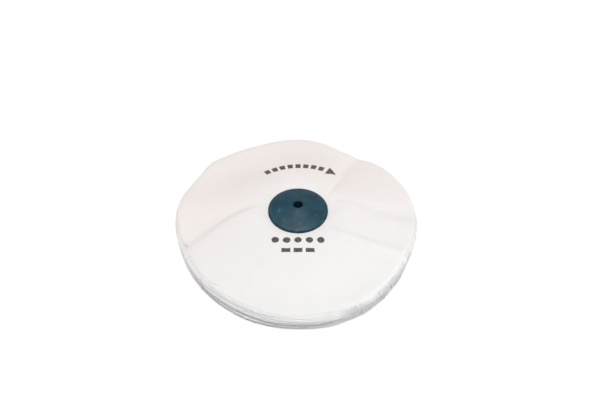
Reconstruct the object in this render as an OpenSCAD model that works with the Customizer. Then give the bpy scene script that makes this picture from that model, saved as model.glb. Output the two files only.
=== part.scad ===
// Muslin polishing wheel with a two-piece plastic centre.
// It lies flat on its back shield: the bore runs along Z, and Z = 0 is the surface it rests on.
// The stack of round cloth plies is clamped between the two shields, and sags to the rim.

/* [Cloth] */
// Diameter of every cloth ply
wheel_d = 127; // [80:1:200]
// Number of cloth plies
ply_count = 54; // [10:1:56]
// Height of the loose stack at the rim
rim_t = 9.2; // [4:0.1:14]
// Height of the stack where the shields clamp it
clamp_t = 6.6; // [3:0.1:10]
// Distance over which the stack springs back from its clamped height
spring_back = 14; // [5:1:30]

/* [Shields] */
// Diameter of both plastic shields
shield_d = 31.8; // [30:0.1:40]
// Height of a shield's upright edge
edge_h = 0.9; // [0.3:0.1:1]
// Radius of the rounded shoulder between the edge and the cone
shoulder_r = 0.8; // [0.3:0.1:1]
// Slope of the cone, in degrees
cone_angle = 16; // [12:0.5:22]
// Thickness of the cone at its middle, measured upright
wall = 1.6; // [1.4:0.1:2]
// Width of the flat ring under each shield that clamps the cloth
lip_w = 1.8; // [1.4:0.1:2.4]
// Radial ribs under each cone
rib_count = 8; // [4:4:16]
// Thickness of a rib
rib_t = 1.2; // [0.8:0.1:2]

/* [Centre] */
// Diameter of the spindle bore
bore_d = 5; // [3:0.1:6]
// Outside diameter of the tube that the plies are threaded on
tube_d = 8; // [7.6:0.1:9]
// Width of the small lead-in chamfer at each mouth of the bore
lead_in = 0.3; // [0.1:0.1:0.5]
// Width of the flat land round each mouth
land_w = 0.5; // [0.3:0.1:1]

/* [Prongs] */
// Number of prongs through the cloth
prong_count = 4; // [2:2:8]
// Diameter of a prong
prong_d = 2.4; // [1.6:0.1:2.6]
// Diameter of the circle that the prongs stand on
prong_circle_d = 19; // [17:0.5:22]

/* [Hidden] */
$fn = 96;
fit_gap = 0.05;       // radial clearance between moulded parts
cloth_gap = 0.1;      // radial clearance between cloth and plastic
ply_gap = 0.02;       // air between neighbouring plies
past = 1;             // how far a cutting shape runs past a face
radius_steps = 12;    // stretches along a ply's sagging radius
shoulder_steps = 12;  // stretches round the shoulder
socket_wall = 1.5;    // plastic round the socket for the tube
prong_wall = 1.1;     // plastic round the socket for a prong
tube_seat = 2;        // height of the ledge that the tube's end sits on
prong_depth = 1.6;    // depth of a prong's blind socket
tip_h = 0.8;          // height of a prong's tapered tip
touch_down = 0.86;    // share of the free radius where the sagging stack meets the table

wheel_r = wheel_d / 2;
shield_r = shield_d / 2;
bore_r = bore_d / 2;
tube_r = tube_d / 2;
prong_r = prong_d / 2;
prong_circle_r = prong_circle_d / 2;
mouth_r = bore_r + lead_in;
land_r = mouth_r + land_w;

// The shoulder is an arc that leaves the upright edge and runs smoothly into the cone.
shoulder_end_r = shield_r - shoulder_r * (1 - sin(cone_angle));
shoulder_end_z = edge_h + shoulder_r * cos(cone_angle);
shield_h = shoulder_end_z + (shoulder_end_r - land_r) * tan(cone_angle);
clamp_z = shield_h;                    // where the back shield meets the cloth
front_z = clamp_z + clamp_t;           // where the front shield meets the cloth
overall_h = front_z + shield_h;

// A surface inside the thickness of the cone, where ribs, prongs and bosses end.
core_r = shield_r - lip_w / 2;
function core_z(r) = edge_h + (shield_h - wall / 2 - edge_h) * (core_r - r) / (core_r - land_r);

function two_digits(i) = str(i < 10 ? "0" : "", i);
function ply_name(i) = str("ply_", two_digits(i));

// The cloth is flat where the shields clamp it. Past them it sags to the table on a smooth curve,
// and its height springs back from the clamped height to the loose one.
function free_share(r) = max(0, (r - shield_r) / (wheel_r - shield_r));
function ease(x) = let (k = min(1, max(0, x))) k * k * (3 - 2 * k);
function stack_bottom(r) = clamp_z * (1 - ease(free_share(r) / touch_down));
function stack_height(r) = clamp_t + (rim_t - clamp_t) * (1 - exp(-max(0, r - shield_r) / spring_back));
function ply_bottom(i, r) = stack_bottom(r) + (i - 1) * stack_height(r) / ply_count;
function ply_top(i, r) = ply_bottom(i, r) + stack_height(r) / ply_count - ply_gap;

cloth_hole_r = tube_r + cloth_gap;
free_radii = [for (k = [0:radius_steps]) shield_r + (wheel_r - shield_r) * k / radius_steps];
cloth_radii = concat([cloth_hole_r], free_radii);
inward_radii = [for (k = [len(cloth_radii) - 1:-1:0]) cloth_radii[k]];

module on_prong_circle() {
    for (k = [0:prong_count - 1])
        rotate(360 * (k + 0.5) / prong_count) translate([prong_circle_r, 0, 0]) children();
}

// One ply: a disc of cloth with a round hole for the tube and one for each prong.
module ply(i) {
    color("whitesmoke") difference() {
        rotate_extrude()
            polygon(concat(
                [for (r = cloth_radii) [r, ply_bottom(i, r)]],
                [for (r = inward_radii) [r, ply_top(i, r)]]
            ));
        on_prong_circle() cylinder(r = prong_r + cloth_gap, h = overall_h);
    }
}

// Half section of a shield's shell, with its clamping face at height 0 and its mouth at the top.
module shell_section() {
    polygon(concat(
        [[shield_r, 0]],
        [for (k = [0:shoulder_steps])
            let (a = (90 - cone_angle) * k / shoulder_steps)
            [shield_r - shoulder_r * (1 - cos(a)), edge_h + shoulder_r * sin(a)]],
        [[land_r, shield_h], [mouth_r, shield_h], [bore_r, shield_h - lead_in]],
        [[bore_r, shield_h - wall], [land_r, shield_h - wall], [shield_r - lip_w, 0]]
    ));
}

// The ribs under the cone, each one running right across and cut to the cone's own slope.
module ribs() {
    intersection() {
        for (k = [0:rib_count / 2 - 1])
            rotate(360 * (k + 0.5) / rib_count)
                translate([-shield_r, -rib_t / 2, 0]) cube([shield_d, rib_t, shield_h]);
        rotate_extrude()
            polygon([
                [0, 0], [core_r, 0], [core_r, core_z(core_r)],
                [land_r, core_z(land_r)], [0, core_z(land_r)]
            ]);
    }
}

// Everything that the two shields have in common.
module shield_blank(boss_r) {
    rotate_extrude() shell_section();
    ribs();
    cylinder(r = boss_r, h = core_z(boss_r));
}

// The front shield carries the tube and the prongs that hold the plies.
module front_shield() {
    tube_len = front_z - tube_seat;
    prong_len = clamp_t + prong_depth - fit_gap;
    color("darkslategray") translate([0, 0, front_z]) difference() {
        union() {
            shield_blank(tube_r);
            translate([0, 0, -tube_len]) cylinder(r = tube_r, h = tube_len + edge_h);
            on_prong_circle() {
                translate([0, 0, tip_h - prong_len])
                    cylinder(r = prong_r, h = prong_len - tip_h + core_z(prong_circle_r));
                translate([0, 0, -prong_len]) cylinder(r1 = prong_r / 2, r2 = prong_r, h = tip_h);
            }
        }
        translate([0, 0, -tube_len - past]) cylinder(r = bore_r, h = overall_h);
    }
}

// The back shield takes the end of the tube in its middle and the prongs in blind sockets.
module back_shield() {
    tube_depth = clamp_z - tube_seat;
    color("darkslategray") translate([0, 0, clamp_z]) mirror([0, 0, 1]) difference() {
        union() {
            shield_blank(tube_r + fit_gap + socket_wall);
            on_prong_circle() cylinder(r = prong_r + prong_wall, h = core_z(prong_circle_r));
        }
        translate([0, 0, -past]) {
            cylinder(r = bore_r, h = shield_h + 2 * past);
            cylinder(r = tube_r + fit_gap, h = tube_depth + past);
            on_prong_circle() cylinder(r = prong_r + fit_gap, h = prong_depth + past);
        }
    }
}

front_shield();
back_shield();
for (i = [1:ply_count])
    ply(i);
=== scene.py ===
"""A muslin polishing wheel: 54 loose round plies of cotton between two conical plastic shields.

It is laid out as an add-on and run as a script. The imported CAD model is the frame: sizes and places
come from it, and every piece made here stands for one of its nodes. Lengths are in metres.
"""

import math
from collections import namedtuple

import bpy
import numpy as np
from bpy.props import FloatProperty, FloatVectorProperty, IntProperty, PointerProperty
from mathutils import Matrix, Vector


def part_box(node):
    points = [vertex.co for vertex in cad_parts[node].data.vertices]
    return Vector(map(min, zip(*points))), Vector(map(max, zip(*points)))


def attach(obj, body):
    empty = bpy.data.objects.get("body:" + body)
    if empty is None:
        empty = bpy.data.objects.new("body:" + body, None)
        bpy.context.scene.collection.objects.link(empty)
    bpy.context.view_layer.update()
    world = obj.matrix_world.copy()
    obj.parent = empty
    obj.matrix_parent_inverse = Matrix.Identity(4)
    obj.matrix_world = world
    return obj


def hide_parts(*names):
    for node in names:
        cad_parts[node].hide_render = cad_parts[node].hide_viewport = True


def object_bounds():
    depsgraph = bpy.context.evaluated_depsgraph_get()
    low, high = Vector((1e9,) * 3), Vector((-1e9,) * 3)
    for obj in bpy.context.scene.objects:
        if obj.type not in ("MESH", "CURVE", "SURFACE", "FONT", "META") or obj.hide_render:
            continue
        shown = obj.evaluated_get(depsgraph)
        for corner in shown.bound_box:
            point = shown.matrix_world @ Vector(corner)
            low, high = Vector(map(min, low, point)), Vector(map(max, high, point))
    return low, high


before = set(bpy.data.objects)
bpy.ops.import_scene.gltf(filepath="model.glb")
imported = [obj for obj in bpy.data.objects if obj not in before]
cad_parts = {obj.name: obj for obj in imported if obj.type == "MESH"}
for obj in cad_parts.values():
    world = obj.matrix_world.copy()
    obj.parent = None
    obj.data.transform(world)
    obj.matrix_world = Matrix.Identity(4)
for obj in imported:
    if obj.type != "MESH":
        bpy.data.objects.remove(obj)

bl_info = {
    "name": "Muslin Polishing Wheel",
    "version": (1, 0, 0),
    "blender": (4, 5, 0),
    "location": "3D View > Sidebar > Polishing Wheel",
    "description": "Makes a loose muslin polishing wheel with a two-piece plastic centre",
    "category": "Object",
}

MM = 0.001
FULL_TURN = 2 * math.pi

# What the frame says: the plies from the lowest up, the radii of the wheel and of its shields, the
# height at which the cloth is clamped, the height of the wheel and that of the clamped stack.
CAD_LOW, CAD_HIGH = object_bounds()
PLIES = sorted(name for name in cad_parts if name.startswith("ply_"))
WHEEL_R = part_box(PLIES[0])[1].x
SHIELD_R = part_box("back_shield")[1].x
CLAMP_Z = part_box("back_shield")[1].z
OVERALL_H = CAD_HIGH.z
CLAMP_T = OVERALL_H - 2 * CLAMP_Z


# ---------------------------------------------------------------- settings

class ClothSettings(bpy.types.PropertyGroup):
    """The stack of muslin plies."""
    rim_h: FloatProperty(
        name="Rim height", description="Height of the loose stack at the rim",
        default=9.2 * MM, min=7 * MM, max=14 * MM, unit="LENGTH", precision=4)
    cloth_t: FloatProperty(
        name="Cloth thickness", description="Thickness of one ply",
        default=0.108 * MM, min=0.05 * MM, max=0.12 * MM, unit="LENGTH", precision=5)
    hole_r: FloatProperty(
        name="Hole radius", description="Radius of the hole in every ply",
        default=4.1 * MM, min=4 * MM, max=5 * MM, unit="LENGTH", precision=4)
    spring_back: FloatProperty(
        name="Spring back", description="Distance over which the pressed stack regains its loose height",
        default=14 * MM, min=5 * MM, max=30 * MM, unit="LENGTH", precision=4)
    touch_down: FloatProperty(
        name="Touch-down", description="Share of the free cloth after which the stack lies on the table",
        default=0.86, min=0.5, max=1, subtype="FACTOR")
    fold_scale: FloatProperty(
        name="Folds", description="How deep the folds are, against the worn wheel",
        default=1, min=0, max=1.2, subtype="FACTOR")
    bulge: FloatProperty(
        name="Bulge", description="How far the upper middle of the rim stands out",
        default=0.8 * MM, min=0, max=3 * MM, unit="LENGTH", precision=4)
    color: FloatVectorProperty(
        name="Cloth colour", description="Bleached cotton", subtype="COLOR",
        default=(0.82, 0.815, 0.81), min=0, max=1)
    # Painted shade: the back and the left of the cloth are tinted warmer and darker by this.
    warm_back_shade: FloatVectorProperty(
        name="Warm back shade", description="What the painted warm shade of the back and left is multiplied by",
        subtype="COLOR", default=(0.99, 0.925, 0.905), min=0, max=1)
    # Painted shade: the bluish grey that the cut edges of the plies, the rim wall, are multiplied by.
    edge: FloatVectorProperty(
        name="Edge tint", description="What the cut edges are multiplied by", subtype="COLOR",
        default=(0.71, 0.735, 0.78), min=0, max=1)
    ink: FloatVectorProperty(
        name="Ink colour", description="Ink of the mark on the cover ply", subtype="COLOR",
        default=(0.045, 0.034, 0.030), min=0, max=1)
    weave_pitch: FloatProperty(
        name="Weave pitch", description="Distance between neighbouring yarns",
        default=0.37 * MM, min=0.2 * MM, max=1 * MM, unit="LENGTH", precision=5)
    seed: IntProperty(name="Seed", description="Changes the chance part of the stack", default=7, min=0)


class PlasticSettings(bpy.types.PropertyGroup):
    """The moulded centre."""
    color: FloatVectorProperty(
        name="Plastic colour", description="Dark petrol green", subtype="COLOR",
        default=(0.011, 0.052, 0.078), min=0, max=1)
    # Colour of the scuffs and nicks, and of the painted highlight on the shoulder.
    rubbed: FloatVectorProperty(
        name="Rubbed colour", description="Where the plastic is scuffed", subtype="COLOR",
        default=(0.20, 0.30, 0.33), min=0, max=1)
    # Painted shade: the bore and the upright edge are multiplied by this.
    bore_and_edge_shade: FloatVectorProperty(
        name="Bore and edge shade", description="What the bore and the upright edge are multiplied by",
        subtype="COLOR", default=(0.45, 0.50, 0.52), min=0, max=1)
    roughness: FloatProperty(
        name="Roughness", description="Satin finish of the moulding", default=0.48, min=0, max=1,
        subtype="FACTOR")


class StageSettings(bpy.types.PropertyGroup):
    """Table, light and camera."""
    distance: FloatProperty(
        name="Camera distance", description="From the lens to the middle of the wheel",
        default=0.25, min=0.1, max=2, unit="LENGTH")
    elevation: FloatProperty(
        name="Camera elevation", description="Angle of the view above the table",
        default=math.radians(47.6), min=0, max=math.pi / 2, subtype="ANGLE")
    lens: FloatProperty(
        name="Lens", description="Focal length for a 36 mm wide sensor", default=27.6, min=10, max=200)
    fill: FloatProperty(
        name="Fill", description="Strength of the even light from all sides", default=0.28, min=0, max=2)
    table_color: FloatVectorProperty(
        name="Table colour", description="Plain pale table", subtype="COLOR",
        default=(1.0, 1.0, 1.0), min=0, max=1)


# ---------------------------------------------------------------- shape helpers

def ease(x):
    """A smooth step: 3x^2 - 2x^3 between 0 and 1, flat at both ends."""
    k = np.clip(x, 0, 1)
    return k * k * (3 - 2 * k)


def smooth_greater(a, b, soft):
    """The greater of two values, rounded where they meet.

    It is half of a + b + the root of (a - b)^2 + soft^2.
    """
    return (a + b + np.sqrt((a - b) ** 2 + soft ** 2)) / 2


def turned(angle):
    """An angle brought into the half turn on either side of zero."""
    return (angle + math.pi) % FULL_TURN - math.pi


def bump_round(theta, at_deg, width_deg):
    """A smooth hump round the rim: 1 at the given angle, falling as a Gaussian of the given width."""
    return np.exp(-(turned(theta - math.radians(at_deg)) / math.radians(width_deg)) ** 2)


def sector(theta, start_deg, end_deg, soft_deg):
    """1 between two angles and 0 outside them, with a smooth step of the given width at each end."""
    middle = math.radians((start_deg + end_deg) / 2)
    half = math.radians((end_deg - start_deg) / 2)
    inside = half - np.abs(turned(theta - middle))
    return ease(inside / math.radians(soft_deg) + 0.5)


def waves(rng, theta, orders, size):
    """A sum of sine waves round the rim, one for each order, with chance phases and strengths.

    Dividing by the root of their number keeps the sum as large however many orders there are.
    """
    orders = np.asarray(orders, float)[:, None]
    strength = rng.normal(size=orders.shape) / math.sqrt(len(orders))
    phase = rng.uniform(0, FULL_TURN, orders.shape)
    return size * (strength * np.sin(orders * theta[None, :] + phase)).sum(0)


def angles(count):
    """Evenly spaced angles round a full turn."""
    return np.arange(count) * FULL_TURN / count


def mesh_object(name, points, quads, sharp_deg=50, uv=None, cut=None):
    """Puts arrays of points (n, 3) and four-cornered faces (m, 4) into a new mesh object at the origin.

    uv is the place of each point in the flat cloth, and cut is how much painted shade it gets at a cut
    edge.
    """
    mesh = bpy.data.meshes.new(name)
    mesh.vertices.add(len(points))
    mesh.vertices.foreach_set("co", np.ascontiguousarray(points, np.float32).ravel())
    mesh.loops.add(quads.size)
    mesh.loops.foreach_set("vertex_index", np.ascontiguousarray(quads, np.int32).ravel())
    mesh.polygons.add(len(quads))
    mesh.polygons.foreach_set("loop_start", np.arange(0, quads.size, 4, dtype=np.int32))
    mesh.update(calc_edges=True)
    mesh.polygons.foreach_set("use_smooth", np.ones(len(quads), bool))
    mesh.set_sharp_from_angle(angle=math.radians(sharp_deg))
    if uv is not None:
        layer = mesh.uv_layers.new(name="flat_cloth")
        layer.data.foreach_set("uv", np.ascontiguousarray(uv[quads.ravel()], np.float32).ravel())
    if cut is not None:
        nearness = mesh.attributes.new("painted_edge_shade", "FLOAT", "POINT")
        nearness.data.foreach_set("value", cut.astype(np.float32))
    mesh.validate()
    piece = bpy.data.objects.new(name, mesh)
    bpy.context.scene.collection.objects.link(piece)
    return piece


def ring_quads(rows, columns):
    """Faces of a grid that is closed both ways.

    Row p joins row p + 1, column k joins column k + 1, and the last joins the first.
    """
    p, k = np.meshgrid(np.arange(rows), np.arange(columns), indexing="ij")
    p_next, k_next = (p + 1) % rows, (k + 1) % columns
    corners = [p * columns + k, p_next * columns + k, p_next * columns + k_next, p * columns + k_next]
    return np.stack(corners, -1).reshape(-1, 4)


def finish_piece(piece, node, material):
    """A piece gets its material, rides on the one body and stands for its CAD node."""
    piece.data.materials.append(material)
    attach(piece, "root")
    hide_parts(node)


# ---------------------------------------------------------------- the stack of cloth

# A fold runs out from the shield: its middle line turns from one angle to the other on its way to the
# rim, the sooner the greater its bend. Before is its width on the side of the smaller angles, after on
# the other, both in degrees. It begins at a share of the free cloth, and is fully there at another.
Fold = namedtuple("Fold", "at_shield at_rim height before after begins full bend", defaults=(1,))
FOLDS = (
    Fold(31, 54, -0.35 * MM, 3.8, 2.4, 0.00, 0.12, 3),
    Fold(30, 53, -0.75 * MM, 8, 6, 0.00, 0.35, 3),
    Fold(26, 51, -0.75 * MM, 18, 14, 0.05, 0.70, 2),
    Fold(62, 76, 0.7 * MM, 10, 14, 0.05, 0.90),
    Fold(106, 112, -0.25 * MM, 3, 4, 0.45, 0.90),
    Fold(120, 141, 0.9 * MM, 9, 9, 0.70, 1.00),
    Fold(112, 138, -1.1 * MM, 20, 16, 0.05, 0.60),
    Fold(146, 178, 1.0 * MM, 17, 13, 0.05, 0.80),
    Fold(161, 198, -0.75 * MM, 9, 4.5, 0.02, 0.35, 1.6),
    Fold(162, 200, -0.18 * MM, 2.4, 3.0, 0.02, 0.20, 1.6),
    Fold(167, 206, 0.75 * MM, 5, 20, 0.02, 0.35, 1.6),
    Fold(238, 240, -0.08 * MM, 2.4, 3, 0.05, 0.30),
    Fold(242, 244, 0.14 * MM, 4, 14, 0.05, 0.35),
    Fold(282, 276, 0.18 * MM, 6, 7, 0.30, 0.90),
    Fold(318, 321, 0.30 * MM, 3, 7, 0.40, 0.80),
    Fold(322, 334, 0.95 * MM, 3.0, 3.6, 0.03, 0.50),
    Fold(330, 340, 0.6 * MM, 9, 16, 0.10, 0.80),
    Fold(350, 354, 0.6 * MM, 6, 5, 0.30, 1.00),
    Fold(33, -2, -0.35 * MM, 4, 5, 0.02, 0.20, 2.2),
    Fold(35, -1, -0.6 * MM, 7, 8, 0.25, 1.00, 2.2),
    Fold(30, 34, 0.30 * MM, 10, 12, 0.15, 1.00),
    Fold(88, 88, -0.8 * MM, 24, 16, 0.40, 1.00),
)

# Where the outline of the wheel leaves a true circle: angle, how far out, and width in degrees.
Reach = namedtuple("Reach", "at out width")
OUTLINE = (
    Reach(0, 0.3 * MM, 12),
    Reach(36, -0.2 * MM, 10),
    Reach(57, -3.0 * MM, 13),
    Reach(67, -1.2 * MM, 8),
    Reach(92, 2.3 * MM, 14),
    Reach(127, 1.8 * MM, 14),
    Reach(141, 2.5 * MM, 9),
    Reach(173, 2.1 * MM, 22),
    Reach(206, -1.5 * MM, 30),
    Reach(240, -0.7 * MM, 18),
    Reach(333, -2.8 * MM, 28),
)

# Waves in the height of the stack: their orders round the rim, their size in mm and the most they drift.
RIPPLES = ((5, 8, 11, 16, 23, 31), 1.0, 4)
GATHERS = ((9, 14, 21, 29, 38), 1.3, 9)
GATHER_FADE = 9 * MM                          # the gathers near the shield fade over this distance

PAST_RIM = 1.15                               # how far a share of the free cloth may go past the rim
LIFT, PRESS = 0.35, 0.6                       # how much of a ridge or a valley the underside follows
ROUNDING = 3.0 * MM                           # width of the rim that rounds down
DROOP, DRAPE_DROOP = 0.5 * MM, 0.6 * MM       # how far it rounds down, and how much further in the drape
LEAST_AIR = 1.05                              # least height of the stack, against that of its cloth
BUNDLE_TOPS = (5, 12, 20, 27, 35, 43, 49)     # the last ply of each loose bundle
WIDE_GAP, SMALL_GAP = 5.0, (0.1, 0.5)         # weight of the air above a bundle, and of that inside one
FULLEST = 0.75                                # the level at which the rim stands out furthest
BUNDLE_OUT, PLY_OUT = 0.42 * MM, 0.16 * MM    # how far a bundle's and a ply's own edge wanders
FRONT = (198, 292, 14)                        # where top plies step back: two angles and their softness
BEVEL_PLIES, BEVEL = 14, 1.9 * MM             # how many top plies step back there, and how far
FLAPS = ((205, 1.5, 2.6), (231, 1.0, 2.0))    # nicks in the cover's edge: angle, depth in mm, width
CURL_FROM, CURL_OVER = 56 * MM, 6 * MM        # where the cloth beside a nick starts to curl up
DRAPE, DRAPE_SOFT = (287, 337), 10            # angles between which the top plies hang over the rim
DRAPE_OUT = 0.9 * MM                          # how far the cover reaches over the rim there

END_MM, END_ROOT = (0.15, 0.75), 0.3 * MM     # length of frayed ends, and where in the edge they start
END_BEND, END_RISE = 0.5, 0.15                # how much frayed ends bend sideways and upwards
YARN_T, FRINGE_T = 0.085 * MM, 0.21 * MM      # thickness of a frayed end, and of a fluffy hanging yarn
START_MM = (0.5, 1.7)                         # how far inside the edge a hanging yarn leaves the cover
BEND_H, OFF_RIM = 2.6 * MM, 0.3 * MM          # height of a hanging yarn's bend, and its gap to the rim
WANDER, LEAN = 0.045, 0.02                    # how far it strays, in mm a step, and how far it leans
FRINGE_PITCH, FRINGE_STRAY = 0.30 * MM, 0.05  # distance between hanging yarns, and its error in mm
FRINGE_TOP = 6.8                              # height from which the fringe hangs down, in mm
TUFT_PITCH, TUFT_PULL = 1.0 * MM, 0.14 * MM   # hanging yarns lean together in tufts
LOOSE_YARNS = (208, 222, 247, 283, 346)       # angles at which one long yarn hangs down the rim
LOOSE_SHADE = 0.05                             # how much painted edge shade single yarns and frayed ends get

SHEET_HALF = 0.46                             # half of a modelled ply, against the room it has
FLAT_UNIT = 10 * MM                           # one unit of the flat cloth's map


class Stack:
    """Where each ply of the loose stack lies, and how far it reaches, at every angle.

    The underside of the stack sags from the shield to the table on a smooth step. Its height springs
    back from the clamped height to the loose one. Folds are added to its top, and the plies between
    share the air in the stack unevenly, so that they gather in bundles.
    """

    def __init__(self, cloth):
        self.cloth = cloth
        self.count = len(PLIES)

    def share(self, r):
        """How far out a point is, from 0 at the shield's edge to 1 at the rim, and a little past it."""
        return np.clip((r - SHIELD_R) / (WHEEL_R - SHIELD_R), 0, PAST_RIM)

    def folds(self, r, theta):
        """Sum of all folds: each is a height times a two-sided Gaussian round its middle line.

        The line turns with (1 - share)^bend, and the fold rises outwards on a smooth step.
        """
        share = self.share(r)
        total = np.zeros(np.broadcast(r, theta).shape)
        for fold in FOLDS:
            left = np.maximum(0, 1 - share) ** fold.bend
            line = np.radians(fold.at_rim + (fold.at_shield - fold.at_rim) * left)
            off = np.degrees(turned(theta - line))
            width = np.where(off < 0, fold.before, fold.after)
            rise = ease((share - fold.begins) / (fold.full - fold.begins))
            total += fold.height * rise * np.exp(-(off / width) ** 2)
        return total * self.cloth.fold_scale

    def ripples(self, r, theta):
        """Slight unevenness: a few waves round the rim that drift outwards, and gathers near the shield.

        Each is a sine of its order times the angle, with a chance phase, strength and drift. The
        gathers are of a higher order and fade as exp(-distance / GATHER_FADE).
        """
        rng = np.random.default_rng(self.cloth.seed)
        share = self.share(r)
        near = ease(share * 8) * np.exp(-(r - SHIELD_R) / GATHER_FADE)
        total = np.zeros(np.broadcast(r, theta).shape)
        for (orders, size, most_drift), rise in ((RIPPLES, ease(share)), (GATHERS, near)):
            for order in orders:
                strength = rng.normal() * size * MM / order
                phase, drift = rng.uniform(0, FULL_TURN), rng.uniform(-most_drift, most_drift)
                total += strength * rise * np.sin(order * theta + phase + drift * share)
        return total

    def sag(self, r):
        """Underside of the stack without folds: a smooth step from the shield down to the table."""
        return CLAMP_Z * (1 - ease(self.share(r) / self.cloth.touch_down))

    def floor(self, r, theta):
        """Underside of the stack: the sag, lifted by ridges and pressed by valleys, above the table."""
        fold = self.folds(r, theta)
        lifted = np.maximum(fold, 0) * LIFT * ease(self.share(r))
        pressed = np.minimum(fold, 0) * PRESS
        return np.maximum(self.sag(r) + lifted + pressed, 0)

    def drape(self, theta):
        """1 where the top plies hang over the rim, and 0 elsewhere."""
        return sector(theta, *DRAPE, DRAPE_SOFT)

    def height(self, r, theta):
        """Height of the stack, never less than all of its plies pressed together.

        The clamped height grows to the loose one as 1 - exp(-distance / spring back). Folds and
        ripples are added, and the rim rounds down with the square of the nearness to the edge.
        """
        free = np.maximum(0, r - SHIELD_R)
        grown = (self.cloth.rim_h - CLAMP_T) * (1 - np.exp(-free / self.cloth.spring_back))
        near_rim = np.clip((r - self.outline(theta)) / ROUNDING + 1, 0, 1.2)
        droop = (DROOP + DRAPE_DROOP * self.drape(theta)) * near_rim ** 2
        top = self.sag(r) + CLAMP_T + grown + self.folds(r, theta) + self.ripples(r, theta) - droop
        least = self.count * self.cloth.cloth_t * LEAST_AIR
        return smooth_greater(top - self.floor(r, theta), least, 0.2 * MM)

    def air_below(self, theta):
        """For each ply, the share of the stack's air that lies below it, at every angle.

        Every gap has a weight, times the exponential of a sum of waves. Gaps between bundles are wide,
        and come and go round the rim.
        """
        rng = np.random.default_rng(self.cloth.seed + 1)
        weights = np.empty((self.count - 1, len(theta)))
        for gap in range(self.count - 1):
            wide = (gap + 1) in BUNDLE_TOPS
            base = WIDE_GAP if wide else rng.uniform(*SMALL_GAP)
            weights[gap] = base * np.exp(waves(rng, theta, (1, 2, 3, 5, 8), 1.1 if wide else 0.9))
        below = np.vstack([np.zeros(len(theta)), np.cumsum(weights, 0)])
        return below / below[-1]

    def outline(self, theta):
        """Radius of the wheel as a whole: the cut circle, and a Gaussian for each entry of OUTLINE."""
        return WHEEL_R + sum(part.out * bump_round(theta, part.at, part.width) for part in OUTLINE)

    def bevel_share(self, ply):
        """1 for the cover, falling evenly to 0 below the plies that step back."""
        return np.clip(1 - (self.count - 1 - ply) / BEVEL_PLIES, 0, 1)

    def reach(self, theta):
        """Radius of every ply's cut edge at every angle, as an array of plies by angles.

        The wheel's own outline, plus a bulge that falls as a square above and below its fullest level,
        plus waves for each bundle and smaller ones for each ply. At the front the top plies step back,
        in the drape they reach over the rim, and the cover has its nicks.
        """
        rng = np.random.default_rng(self.cloth.seed + 2)
        outline = self.outline(theta)
        level = np.arange(self.count) / (self.count - 1)
        side = np.where(level < FULLEST, FULLEST, 1 - FULLEST)
        bulge = self.cloth.bulge * (1 - ((level - FULLEST) / side) ** 2)
        edges = outline[None, :] + bulge[:, None]
        bundle = np.searchsorted(BUNDLE_TOPS, np.arange(1, self.count + 1))
        even = 1 - 0.6 * self.drape(theta)
        for number in range(bundle.max() + 1):
            edges[bundle == number] += even * waves(rng, theta, (1, 2, 3, 5, 7), BUNDLE_OUT)
        for ply in range(self.count):
            edges[ply] += waves(rng, theta, (1, 2, 4, 9, 17), PLY_OUT)
        front = sector(theta, *FRONT)
        up = self.bevel_share(np.arange(self.count))[:, None]
        edges -= BEVEL * (0.1 + 0.9 * front) * up ** 1.6
        edges += DRAPE_OUT * self.drape(theta) * up ** 3
        for at, deep, width in FLAPS:
            edges[-1] -= deep * MM * bump_round(theta, at, width)
        return edges

    def middle(self, ply, r, theta):
        """Height of a ply's middle surface: the underside, the plies below, and its share of the air.

        The plies share the air evenly under the shield. Beside its nicks the cover stands up a little.
        """
        air = self.air_below(theta)[ply]
        even = ply / (self.count - 1)
        lies_at = even + (air - even) * ease(self.share(r) * 2.5)
        thickness = self.cloth.cloth_t
        free = self.height(r, theta) - self.count * thickness
        z = self.floor(r, theta) + (ply + 0.5) * thickness + lies_at * free
        if ply == self.count - 1:
            for at, deep, width in FLAPS:
                curled = bump_round(theta, at - 1.5 * width, 1.5 * width)
                z = z + 0.4 * deep * MM * curled * ease((r - CURL_FROM) / CURL_OVER)
        return z


def ring_radii(fixed, outer_shares, edge):
    """Radii of a ply's rings at each angle: fixed ones, then shares of what is left to its own edge."""
    inner = np.repeat(np.asarray(fixed)[:, None], len(edge), 1)
    outer = fixed[-1] + np.asarray(outer_shares)[:, None] * (edge - fixed[-1])[None, :]
    return np.vstack([inner, outer])


def yarn_tubes(line, thickness):
    """Closed square tubes along many lines at once: line is yarns by points by 3, thickness a full width.

    At every point, four corners stand round the line, on its sideways and its other crosswise direction.
    """
    along = np.gradient(line, axis=1)
    along /= np.linalg.norm(along, axis=2, keepdims=True)
    side = np.cross(along, (0.0, 0.0, 1.0))
    side /= np.linalg.norm(side, axis=2, keepdims=True) + 1e-9
    other = np.cross(side, along)
    turn = angles(4)[None, None, :, None]
    ring = np.cos(turn) * side[:, :, None, :] + np.sin(turn) * other[:, :, None, :]
    points = line[:, :, None, :] + ring * thickness / 2
    yarns, steps = line.shape[:2]
    p, k = np.meshgrid(np.arange(steps - 1), np.arange(4), indexing="ij")
    wall = np.stack([p * 4 + k, (p + 1) * 4 + k, (p + 1) * 4 + (k + 1) % 4, p * 4 + (k + 1) % 4], -1)
    last = (steps - 1) * 4
    caps = np.array([[0, 1, 2, 3], [last + 3, last + 2, last + 1, last]])
    one = np.concatenate([wall.reshape(-1, 4), caps])
    quads = one[None] + (np.arange(yarns) * steps * 4)[:, None, None]
    return points.reshape(-1, 3), quads.reshape(-1, 4)


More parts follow.
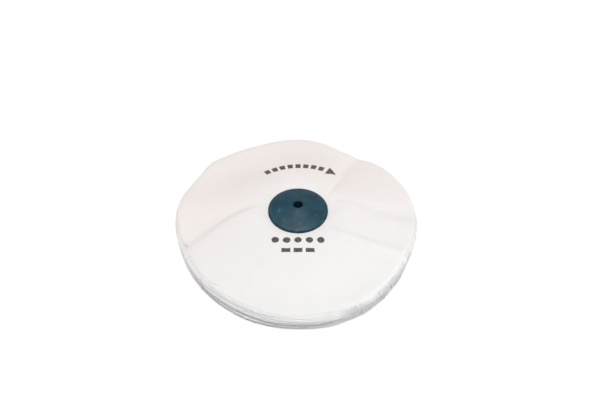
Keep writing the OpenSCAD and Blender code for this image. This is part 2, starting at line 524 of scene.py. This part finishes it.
def yarn_ends(stack, ply, rng, count):
    """Short frayed ends of yarn that stick out of a ply's edge, nearly level, each with a slight bend.

    Each starts inside the edge, slants and bends sideways, and rises or dips with the square of the
    way along it.
    """
    theta = rng.uniform(0, FULL_TURN, count)
    edge = stack.reach(theta)[ply]
    z = stack.middle(ply, edge, theta)
    along = np.linspace(0, 1, 4)[None, :]
    length = rng.uniform(*END_MM, (count, 1)) * MM
    slant, bend = rng.normal(size=(2, count, 1)) * END_BEND
    rise = rng.normal(size=(count, 1)) * END_RISE
    r = edge[:, None] - END_ROOT + (length + END_ROOT) * along
    t = theta[:, None] + length * (slant * along + bend * along ** 2) / WHEEL_R
    height = np.maximum(z[:, None] + rise * length * along ** 2, YARN_T)
    return np.stack([r * np.cos(t), r * np.sin(t), height], -1)


def hanging_yarns(stack, rng, theta, low):
    """Yarns that leave the cover's edge, bend over the rim on a quarter ellipse and hang down.

    The ellipse reaches out to the furthest ply below, so a yarn lies against the rim and not in it.
    Low is the height of each yarn's end.
    """
    start = stack.reach(theta)[-1] - rng.uniform(*START_MM, len(theta)) * MM
    z_start = stack.middle(stack.count - 1, start, theta) + 0.12 * MM
    out = stack.reach(theta).max(0) + OFF_RIM
    z_side = np.maximum(z_start - BEND_H, low + 0.2 * MM)
    turn = np.linspace(0, math.pi / 2, 9)[None, :]
    r_over = start[:, None] + (out - start)[:, None] * np.sin(turn)
    z_over = z_side[:, None] + (z_start - z_side)[:, None] * np.cos(turn)
    down = np.linspace(0, 1, 6)[None, 1:]
    r_down = np.repeat(out[:, None], down.size, 1)
    z_down = z_side[:, None] + (low - z_side)[:, None] * down
    r, z = np.hstack([r_over, r_down]), np.hstack([z_over, z_down])
    wander = np.cumsum(rng.normal(size=r.shape), 1) * WANDER * MM
    lean = LEAN + rng.normal(size=(len(theta), 1)) * LEAN / 2
    t = theta[:, None] + wander / WHEEL_R + lean * np.linspace(0, 1, r.shape[1])[None, :] ** 2
    return np.stack([r * np.cos(t), r * np.sin(t), z], -1)


def fringe(stack, rng):
    """The yarns that hang down where the cover drapes, in tufts, and a few long loose ones elsewhere.

    They stand at an even pitch, pulled together by the sine of their place in a tuft. Waves say how
    far down the clumps of them hang, and they thin out at both ends of the drape. With them comes the
    painted shadow on each: those that lie deep between two tufts are painted darkest.
    """
    start, end = (math.radians(angle) for angle in DRAPE)
    theta = np.arange(start, end, FRINGE_PITCH / WHEEL_R)
    theta = theta + rng.normal(size=theta.shape) * FRINGE_STRAY * MM / WHEEL_R
    tuft = FULL_TURN * theta * WHEEL_R / TUFT_PITCH
    theta = theta - TUFT_PULL / WHEEL_R * np.sin(tuft)
    clump = 0.5 + waves(rng, theta, (14, 23, 37, 61), 0.5)
    taper = np.minimum(ease((theta - start) / 0.20), ease((end - theta) / 0.40))
    # Painted shadow: yarns deep between two tufts get the most edge shade.
    yarn_shade = taper * np.clip(0.12 + 0.28 * clump, 0, 0.45) * (1 - np.cos(tuft))
    kept = rng.uniform(size=theta.shape) < 0.25 + 0.75 * taper
    theta, clump, taper, yarn_shade = theta[kept], clump[kept], taper[kept], yarn_shade[kept]
    hang = (3.4 * clump + 2.2) * (0.3 + 0.7 * taper) + rng.normal(size=theta.shape) * 0.5
    low = np.clip((FRINGE_TOP - hang) * MM, 0.3 * MM, FRINGE_TOP * MM)
    loose = np.radians(LOOSE_YARNS)
    theta = np.concatenate([theta, loose])
    low = np.concatenate([low, rng.uniform(0.5, 4, len(loose)) * MM])
    yarn_shade = np.concatenate([yarn_shade, np.full(len(loose), LOOSE_SHADE)])
    return hanging_yarns(stack, rng, theta, low), yarn_shade


# How finely a ply is made: points round it, fixed rings, shares of the rest that have a ring, how
# uneven its cut edge is, and how many frayed ends of yarn it has.
Detail = namedtuple("Detail", "segments rings shares fray ends")
COARSE = Detail(384, [r * MM for r in (10, 15.9, 18, 21, 25, 30, 36, 42, 48, 54)],
                (0.45, 0.75, 0.97, 1.0), 0.08 * MM, 90)
FINE = Detail(960, [r * MM for r in (7, 10, 13, 15.9, 16.6, 17.4, 18.2, 19.2, 20.4, 21.8, 23.4, 25, 26.6,
                                     28.3, 30, 32, 34, 36, 38, 40, 42, 44, 46, 48, 50, 52, 54)],
              (0.15, 0.3, 0.42, 0.54, 0.64, 0.73, 0.81, 0.88, 0.94, 0.98, 1.0), 0.10 * MM, 220)
FINE_PLIES = 4                                # the topmost plies, the cover among them


def ply_mesh(stack, ply, detail):
    """One ply as a closed sheet on a grid of rings by angles, with its frayed ends of yarn.

    The upper and lower faces stand half the cloth's thickness off its middle surface. Its grain, the
    direction of the warp, turns its place in the flat cloth by a chance angle.
    """
    theta = angles(detail.segments)
    rng = np.random.default_rng(stack.cloth.seed + 100 + ply)
    edge = stack.reach(theta)[ply] + rng.normal(size=detail.segments) * detail.fray
    r = ring_radii([stack.cloth.hole_r, *detail.rings], detail.shares, edge)
    middle = stack.middle(ply, r, theta)
    x, y = r * np.cos(theta), r * np.sin(theta)
    half = stack.cloth.cloth_t * SHEET_HALF
    top = np.stack([x, y, middle + half], -1)
    bottom = np.stack([x, y, middle - half], -1)
    grain = rng.uniform(0, math.pi)
    flat = np.stack([x, y], -1) @ np.array([[math.cos(grain), math.sin(grain)],
                                            [-math.sin(grain), math.cos(grain)]])
    # Painted shade on the outermost ring, the cut edge: less in the drape and on the upper plies.
    rim_shade = np.zeros(r.shape)
    rim_shade[-1] = (1 - 0.6 * stack.drape(theta)) * (1 - 0.65 * stack.bevel_share(ply) ** 0.5)
    points = np.concatenate([top, bottom[::-1]]).reshape(-1, 3)
    uv = np.concatenate([flat, flat[::-1]]).reshape(-1, 2) / FLAT_UNIT
    cut = np.concatenate([rim_shade, rim_shade[::-1]]).ravel()
    quads = ring_quads(2 * len(r), detail.segments)

    ends = yarn_ends(stack, ply, rng, detail.ends)
    yarns = [(ends, np.full(detail.ends, LOOSE_SHADE), YARN_T)]
    if ply == stack.count - 1:
        yarns.append((*fringe(stack, rng), FRINGE_T))
    for line, yarn_shade, thickness in yarns:
        yarn_points, yarn_quads = yarn_tubes(line, thickness)
        quads = np.concatenate([quads, yarn_quads + len(points)])
        points = np.concatenate([points, yarn_points])
        uv = np.concatenate([uv, yarn_points[:, 2:0:-1] / FLAT_UNIT])
        cut = np.concatenate([cut, np.repeat(yarn_shade, len(yarn_points) // len(yarn_shade))])
    return points, quads, uv, cut


def add_ply(stack, ply, material):
    node = PLIES[ply]
    detail = FINE if ply >= stack.count - FINE_PLIES else COARSE
    points, quads, uv, cut = ply_mesh(stack, ply, detail)
    piece = mesh_object("muslin_" + node, points, quads, uv=uv, cut=cut)
    finish_piece(piece, node, material)


# ---------------------------------------------------------------- materials

class Nodes:
    """Short names for the shader nodes that the materials are built from."""

    def __init__(self, name):
        self.material = bpy.data.materials.new(name)
        self.material.use_nodes = True
        self.tree = self.material.node_tree
        self.shader = self.tree.nodes["Principled BSDF"]

    def put(self, socket, value):
        """Links a socket to another one, or sets it to a plain value."""
        if isinstance(value, bpy.types.NodeSocket):
            self.tree.links.new(value, socket)
        else:
            socket.default_value = value

    def node(self, kind, **inputs):
        """A new node, with its inputs set by name."""
        made = self.tree.nodes.new(kind)
        for key, value in inputs.items():
            self.put(made.inputs[key], value)
        return made

    def math(self, operation, a, b=0.0, c=0.0):
        """The result of one arithmetic step."""
        made = self.tree.nodes.new("ShaderNodeMath")
        made.operation = operation
        for socket, value in zip(made.inputs, (a, b, c)):
            self.put(socket, value)
        return made.outputs[0]

    def noise(self, vector, scale, detail=2.0, roughness=0.5):
        """Soft chance patches, about 1 / scale metres across on Object coordinates."""
        made = self.node("ShaderNodeTexNoise", Scale=scale, Detail=detail, Roughness=roughness)
        self.put(made.inputs["Vector"], vector)
        return made.outputs["Fac"]

    def remap(self, value, low, high, to_low=0.0, to_high=1.0):
        """A value carried in a straight line from one range to another, and held at its ends."""
        made = self.tree.nodes.new("ShaderNodeMapRange")
        for socket, entry in zip(made.inputs, (value, low, high, to_low, to_high)):
            self.put(socket, entry)
        return made.outputs["Result"]

    def mix(self, factor, a, b, blend="MIX"):
        """One colour where the factor is 0, and the other where it is 1."""
        made = self.tree.nodes.new("ShaderNodeMix")
        made.data_type, made.blend_type = "RGBA", blend
        self.put(made.inputs["Factor"], factor)
        colors = [socket for socket in made.inputs if socket.type == "RGBA"]
        for socket, value in zip(colors, (a, b)):
            self.put(socket, value if isinstance(value, bpy.types.NodeSocket) else (*value, 1))
        return [socket for socket in made.outputs if socket.type == "RGBA"][0]

    def multiply(self, base, factor, tint):
        """A colour multiplied by a tint where the factor is 1, and left alone where it is 0."""
        return self.mix(factor, base, tint, "MULTIPLY")

    def scaled(self, vector, scale):
        """A place stretched along each axis."""
        made = self.tree.nodes.new("ShaderNodeMapping")
        self.put(made.inputs["Vector"], vector)
        made.inputs["Scale"].default_value = scale
        return made.outputs["Vector"]

    def distance_out(self, place):
        """Distance from the wheel's axis."""
        made = self.node("ShaderNodeVectorMath")
        made.operation = "LENGTH"
        self.put(made.inputs[0], self.scaled(place, (1, 1, 0)))
        return made.outputs["Value"]

    def step(self, value, at, soft):
        """0 below a value and 1 above it, with a straight slope of the given width between."""
        return self.remap(value, at - soft / 2, at + soft / 2)

    def every(self, value, pitch):
        """Distance to the nearest whole multiple of a pitch."""
        part = self.math("FRACT", self.math("ADD", self.math("DIVIDE", value, pitch), 0.5))
        return self.math("MULTIPLY", self.math("ABSOLUTE", self.math("SUBTRACT", part, 0.5)), pitch)

    def bump(self, height, strength, distance, normal=None):
        """A surface direction that follows a height, on top of another bump if one is given."""
        made = self.node("ShaderNodeBump", Strength=strength, Distance=distance, Height=height)
        if normal is not None:
            self.put(made.inputs["Normal"], normal)
        return made.outputs["Normal"]


def stamp(n, place):
    """How much ink lies at a point: a dashed arrow for the direction of turning, and rows of plain marks.

    All lengths are in millimetres. Each shape is a distance compared with its half width. The arrow
    lies along a circle round the axis, from its tail to its head, and the rows lie below the shield.
    """
    arc_r, band_half, head_slope = 36.8, 2.0, 0.62
    dash_pitch, dash_half = 4.6, 1.55
    arrow_middle, arrow_half, head_at, tip_at = -2.3, 18.6, 17.6, 23.4
    dots_y, dot_pitch, dot_r, dots_half = -20.6, 5.7, 1.9, 14.0
    bars_y, bar_pitch, bar_half, bar_half_h, bars_half = -27.0, 6.0, 2.2, 1.2, 8.6
    blur, stray = 0.35, 0.6

    axes = n.tree.nodes.new("ShaderNodeSeparateXYZ")
    n.put(axes.inputs[0], place)
    wobble = n.math("MULTIPLY", n.math("SUBTRACT", n.noise(place, 700.0, 3.0), 0.5), stray)
    x = n.math("MULTIPLY_ADD", axes.outputs["X"], 1 / MM, wobble)
    y = n.math("MULTIPLY_ADD", axes.outputs["Y"], 1 / MM, wobble)

    def length(across, up):
        """The root of the sum of two squares."""
        squares = n.math("ADD", n.math("MULTIPLY", across, across), n.math("MULTIPLY", up, up))
        return n.math("POWER", squares, 0.5)

    def within(distance, half):
        """1 where a distance is less than the half width, and 0 beyond it."""
        return n.math("SUBTRACT", 1.0, n.step(distance, half, blur))

    def together(*parts):
        """1 only where every part is 1: their product."""
        total = parts[0]
        for part in parts[1:]:
            total = n.math("MULTIPLY", total, part)
        return total

    along = n.math("MULTIPLY", n.math("ARCTAN2", x, y), arc_r)
    off = n.math("ABSOLUTE", n.math("SUBTRACT", length(x, y), arc_r))
    spread = n.math("ABSOLUTE", n.math("SUBTRACT", along, arrow_middle))
    dashes = together(within(off, band_half), within(n.every(along, dash_pitch), dash_half),
                      within(spread, arrow_half))
    head_half = n.math("MULTIPLY", n.math("SUBTRACT", tip_at, along), head_slope)
    head = together(within(n.math("SUBTRACT", off, head_half), 0), n.step(along, head_at, blur))

    from_middle = n.math("ABSOLUTE", x)
    radius = length(n.every(x, dot_pitch), n.math("SUBTRACT", y, dots_y))
    dots = together(within(radius, dot_r), within(from_middle, dots_half))
    bar_y = n.math("ABSOLUTE", n.math("SUBTRACT", y, bars_y))
    bars = together(within(bar_y, bar_half_h), within(n.every(x, bar_pitch), bar_half),
                    within(from_middle, bars_half))
    ink = n.math("MAXIMUM", n.math("MAXIMUM", dashes, head), n.math("MAXIMUM", dots, bars))
    patchy = n.remap(n.noise(place, 1500.0, 3.0, 0.7), 0.30, 0.50, 0.80, 1.0)
    return n.math("MULTIPLY", ink, patchy)


def muslin(cloth, printed):
    """Bleached plain-weave cotton: warp and weft bumps in a checked pattern, slubs, faint uneven tone.

    The weave is a sine across the warp times one across the weft. Cut edges get painted shade, the
    back and the left a painted warm shade, less so beside the shield, and the cover carries a stamp.
    """
    slub_stretch = 14                         # slubs are this many times as long as they are wide
    clean_r = 2.2 * SHIELD_R                  # within this radius the painted warm shade is weaker
    n = Nodes("muslin_printed" if printed else "muslin")
    place = n.node("ShaderNodeTexCoord").outputs["Object"]
    uv_map = n.tree.nodes.new("ShaderNodeUVMap")
    uv_map.uv_map = "flat_cloth"
    flat = n.tree.nodes.new("ShaderNodeSeparateXYZ")
    n.put(flat.inputs[0], uv_map.outputs["UV"])
    yarns = math.pi * FLAT_UNIT / cloth.weave_pitch
    warp = n.math("SINE", n.math("MULTIPLY", flat.outputs["X"], yarns))
    weft = n.math("SINE", n.math("MULTIPLY", flat.outputs["Y"], yarns))
    weave = n.math("MULTIPLY", warp, weft)
    slub_x = n.noise(n.scaled(uv_map.outputs["UV"], (slub_stretch, 1.0, 1)), 1.0, 3.0)
    slub_y = n.noise(n.scaled(uv_map.outputs["UV"], (1.0, slub_stretch, 1)), 1.0, 3.0)
    slubs = n.math("ADD", slub_x, slub_y)
    mottle = n.noise(place, 60.0, 4.0)
    tone = n.math("ADD", n.remap(slubs, 0.7, 1.3, -0.5, 0.5), n.remap(mottle, 0.3, 0.7, -0.5, 0.5))
    pale = tuple(min(1.0, c * 1.015) for c in cloth.color)
    dull = tuple(c * 0.972 for c in cloth.color)
    base = n.mix(n.remap(tone, -1, 1), dull, pale)

    # Painted warm shade: the back and the left are tinted darker and warmer, less so beside the shield.
    axes = n.tree.nodes.new("ShaderNodeSeparateXYZ")
    n.put(axes.inputs[0], place)
    back_left = n.math("MULTIPLY_ADD", axes.outputs["X"], -0.3, axes.outputs["Y"])
    warm_back_shade = n.remap(n.math("MULTIPLY_ADD", mottle, 0.02, back_left), -0.036, 0.031)
    shielded = n.remap(n.distance_out(place), SHIELD_R, clean_r, 0.35, 1.0)
    warm_back_shade = n.math("MULTIPLY", warm_back_shade, shielded)
    base = n.multiply(base, warm_back_shade, cloth.warm_back_shade)
    # Painted shade on the cut edges of the plies, made patchy by noise.
    cut = n.tree.nodes.new("ShaderNodeAttribute")
    cut.attribute_name = "painted_edge_shade"
    patchy_edge_shade = n.remap(n.noise(place, 500.0, 3.0), 0.35, 0.65, 0.7, 1.0)
    base = n.multiply(base, n.math("MULTIPLY", cut.outputs["Fac"], patchy_edge_shade), cloth.edge)
    if printed:
        thin = n.remap(weave, -1, 1, 0.92, 1.0)
        base = n.mix(n.math("MULTIPLY", stamp(n, place), thin), base, tuple(cloth.ink))
    n.put(n.shader.inputs["Base Color"], base)
    n.put(n.shader.inputs["Roughness"], 0.93)
    n.put(n.shader.inputs["Specular IOR Level"], 0.25)
    n.put(n.shader.inputs["Sheen Weight"], 0.15)
    n.put(n.shader.inputs["Sheen Roughness"], 0.6)
    coarse = n.bump(n.math("ADD", slubs, n.noise(place, 350.0, 3.0)), 0.35, 0.12 * MM)
    n.put(n.shader.inputs["Normal"], n.bump(weave, 0.5, 0.05 * MM, coarse))
    return n.material


def satin_plastic(plastic):
    """Dark satin moulding of uneven tone and gloss.

    Each mark is a ring, by the distance from the axis, times noise: dull rubbed patches on the cone
    and small pale nicks at the edge, which are wear, and a painted highlight on the shoulder. The bore
    and the upright edge are darkened with painted shade.
    """
    rubbed_r, bore_r, shoulder_r = 10.4 * MM, 2.45 * MM, SHIELD_R - 1.5 * MM
    rubbed_share, nicked_share, shoulder_highlight_share = 0.22, 0.5, 0.10
    n = Nodes("petrol_plastic")
    place = n.node("ShaderNodeTexCoord").outputs["Object"]
    radius = n.distance_out(place)
    cloudy = n.noise(place, 180.0, 3.0)
    deep = tuple(c * 0.82 for c in plastic.color)
    light = tuple(c * 1.14 + 0.002 for c in plastic.color)
    base = n.mix(n.remap(cloudy, 0.35, 0.65), deep, light)

    off_ring = n.math("ABSOLUTE", n.math("SUBTRACT", radius, rubbed_r))
    ring = n.remap(off_ring, 0.6 * MM, 2.4 * MM, 1.0, 0.0)
    patches = n.remap(n.noise(place, 210.0, 4.0, 0.65), 0.56, 0.66)
    rubbed = n.math("MULTIPLY", ring, patches)
    at_edge = n.remap(radius, 14.6 * MM, 15.3 * MM)
    nicks = n.math("MULTIPLY", at_edge, n.remap(n.noise(place, 620.0, 4.0, 0.7), 0.58, 0.66))
    # Painted highlight: a pale ring on the shoulder, in patches.
    off_shoulder = n.math("ABSOLUTE", n.math("SUBTRACT", radius, shoulder_r))
    shoulder_highlight = n.math("MULTIPLY", n.remap(off_shoulder, 0.1 * MM, 0.9 * MM, 1.0, 0.0),
                      n.remap(n.noise(place, 120.0, 2.0), 0.40, 0.60))
    # Wear and painted highlight together: scuffs and nicks, and the shoulder's painted highlight.
    wear_and_highlight = n.math("MAXIMUM", n.math("MULTIPLY", rubbed, rubbed_share),
                  n.math("MULTIPLY", nicks, nicked_share))
    wear_and_highlight = n.math("MAXIMUM", wear_and_highlight, n.math("MULTIPLY", shoulder_highlight, shoulder_highlight_share))
    base = n.mix(wear_and_highlight, base, tuple(plastic.rubbed))
    # Painted shade: the bore and the upright edge are darkened.
    in_bore = n.remap(radius, bore_r, bore_r + 0.15 * MM, 1.0, 0.0)
    upright = n.remap(radius, SHIELD_R - 0.30 * MM, SHIELD_R - 0.12 * MM)
    base = n.multiply(base, n.math("MAXIMUM", in_bore, upright), plastic.bore_and_edge_shade)
    n.put(n.shader.inputs["Base Color"], base)
    dullest, glossiest = plastic.roughness + 0.03, plastic.roughness - 0.03
    rough = n.remap(n.noise(place, 900.0, 3.0), 0.3, 0.7, glossiest, dullest)
    n.put(n.shader.inputs["Roughness"], n.math("MULTIPLY_ADD", wear_and_highlight, 0.4, rough))
    n.put(n.shader.inputs["Specular IOR Level"], 0.32)
    n.put(n.shader.inputs["Normal"], n.bump(n.noise(place, 2500.0, 2.0), 0.12, 0.02 * MM))
    return n.material


# ---------------------------------------------------------------- operators

class WHEEL_OT_inner_plies(bpy.types.Operator):
    """Makes every ply but the two covers"""
    bl_idname = "wheel.inner_plies"
    bl_label = "Inner plies"

    def execute(self, context):
        stack = Stack(context.scene.wheel_cloth)
        cloth = muslin(context.scene.wheel_cloth, False)
        for ply in range(1, stack.count - 1):
            add_ply(stack, ply, cloth)
        return {"FINISHED"}


class WHEEL_OT_cover_plies(bpy.types.Operator):
    """Makes the lowest ply and the printed cover ply"""
    bl_idname = "wheel.cover_plies"
    bl_label = "Cover plies"

    def execute(self, context):
        stack = Stack(context.scene.wheel_cloth)
        add_ply(stack, 0, muslin(context.scene.wheel_cloth, False))
        add_ply(stack, stack.count - 1, muslin(context.scene.wheel_cloth, True))
        return {"FINISHED"}


class WHEEL_OT_shields(bpy.types.Operator):
    """Gives both shields their satin plastic"""
    bl_idname = "wheel.shields"
    bl_label = "Shields"

    def execute(self, context):
        plastic = satin_plastic(context.scene.wheel_plastic)
        for node in ("front_shield", "back_shield"):
            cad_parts[node].data.materials.clear()
            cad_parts[node].data.materials.append(plastic)
        return {"FINISHED"}


# Far soft lights that fall evenly on the whole table: place, strength, how wide each looks in degrees,
# and colour. The side light is near, square and low, and draws the edges of the cloth at the right.
Sun = namedtuple("Sun", "name place strength wide color")
SUNS = (
    Sun("key", (0.06, -0.42, 1.45), 2.21, 19, (1.0, 1.0, 0.995)),
    Sun("overhead", (-0.05, 0.25, 1.50), 0.42, 22, (1.0, 0.98, 0.97)),
)
SIDE_PLACE, SIDE_SIZE, SIDE_POWER = (0.51, -0.21, 0.10), 0.20, 0.42

TABLE_HALF = 3.0
AIM_Z = 4.55 * MM                             # the camera looks at this height on the wheel's axis
SHIFT = (0.0033, 0.029)                       # how far the wheel stands off the middle of the view


def add_light(name, kind, place, aim, strength, color=(1, 1, 1)):
    """A light at a place, turned towards the point that it is aimed at."""
    data = bpy.data.lights.new(name, kind)
    data.energy = strength
    data.color = color
    light = bpy.data.objects.new(name, data)
    light.location = place
    light.rotation_euler = (Vector(aim) - Vector(place)).to_track_quat("-Z", "Y").to_euler()
    bpy.context.scene.collection.objects.link(light)
    return data


class WHEEL_OT_stage(bpy.types.Operator):
    """Sets out the table, the lights and the camera"""
    bl_idname = "wheel.stage"
    bl_label = "Stage"

    def execute(self, context):
        scene, stage = context.scene, context.scene.wheel_stage
        corners = np.array([(-1, -1, 0), (1, -1, 0), (1, 1, 0), (-1, 1, 0)]) * TABLE_HALF
        table = mesh_object("table", corners, np.array([[0, 1, 2, 3]]))
        n = Nodes("pale_table")
        n.put(n.shader.inputs["Base Color"], (*stage.table_color, 1))
        n.put(n.shader.inputs["Roughness"], 0.8)
        table.data.materials.append(n.material)

        # The backdrop is seen as plain white, and lights the wheel only as much as the fill says.
        world = bpy.data.worlds.new("studio")
        world.use_nodes = True
        tree = world.node_tree
        seen = tree.nodes.new("ShaderNodeLightPath").outputs["Is Camera Ray"]
        strength = tree.nodes.new("ShaderNodeMapRange")
        tree.links.new(seen, strength.inputs["Value"])
        strength.inputs["To Min"].default_value = stage.fill
        strength.inputs["To Max"].default_value = 1.0
        background = tree.nodes["Background"]
        background.inputs["Color"].default_value = (1, 1, 1, 1)
        tree.links.new(strength.outputs["Result"], background.inputs["Strength"])
        scene.world = world
        for sun in SUNS:
            light = add_light(sun.name, "SUN", sun.place, (0, 0, 0), sun.strength, sun.color)
            light.angle = math.radians(sun.wide)
        side = add_light("side", "AREA", SIDE_PLACE, (0, 0, OVERALL_H / 2), SIDE_POWER)
        side.shape, side.size = "SQUARE", SIDE_SIZE

        camera = bpy.data.cameras.new("camera")
        camera.sensor_width = 36
        camera.lens = stage.lens
        camera.clip_start, camera.clip_end = 0.01, 20
        camera.shift_x, camera.shift_y = SHIFT
        holder = bpy.data.objects.new("camera", camera)
        back = Vector((0, -math.cos(stage.elevation), math.sin(stage.elevation)))
        holder.location = Vector((0, 0, AIM_Z)) + back * stage.distance
        holder.rotation_euler = (-back).to_track_quat("-Z", "Y").to_euler()
        scene.collection.objects.link(holder)
        scene.camera = holder
        scene.view_settings.view_transform = "Standard"
        scene.view_settings.look = "None"
        return {"FINISHED"}


class WHEEL_PT_panel(bpy.types.Panel):
    """Lists the wheel's pieces and settings"""
    bl_label = "Polishing Wheel"
    bl_idname = "WHEEL_PT_panel"
    bl_space_type = "VIEW_3D"
    bl_region_type = "UI"
    bl_category = "Polishing Wheel"

    def draw(self, context):
        for group in SETTINGS:
            settings, box = getattr(context.scene, group), self.layout.box()
            for name in settings.__annotations__:
                box.prop(settings, name)
        for step in STEPS:
            self.layout.operator(step.bl_idname)


STEPS = (WHEEL_OT_stage, WHEEL_OT_cover_plies, WHEEL_OT_inner_plies, WHEEL_OT_shields)
SETTINGS = {"wheel_cloth": ClothSettings, "wheel_plastic": PlasticSettings, "wheel_stage": StageSettings}


def register():
    for kind in (*SETTINGS.values(), *STEPS, WHEEL_PT_panel):
        bpy.utils.register_class(kind)
    for name, kind in SETTINGS.items():
        setattr(bpy.types.Scene, name, PointerProperty(type=kind))


def unregister():
    for name in SETTINGS:
        delattr(bpy.types.Scene, name)
    for kind in (WHEEL_PT_panel, *reversed(STEPS), *SETTINGS.values()):
        bpy.utils.unregister_class(kind)


def main():
    """Registers the add-on and runs its operators in order."""
    register()
    for step in STEPS:
        area, name = step.bl_idname.split(".")
        getattr(getattr(bpy.ops, area), name)()


if __name__ == "__main__":
    main()
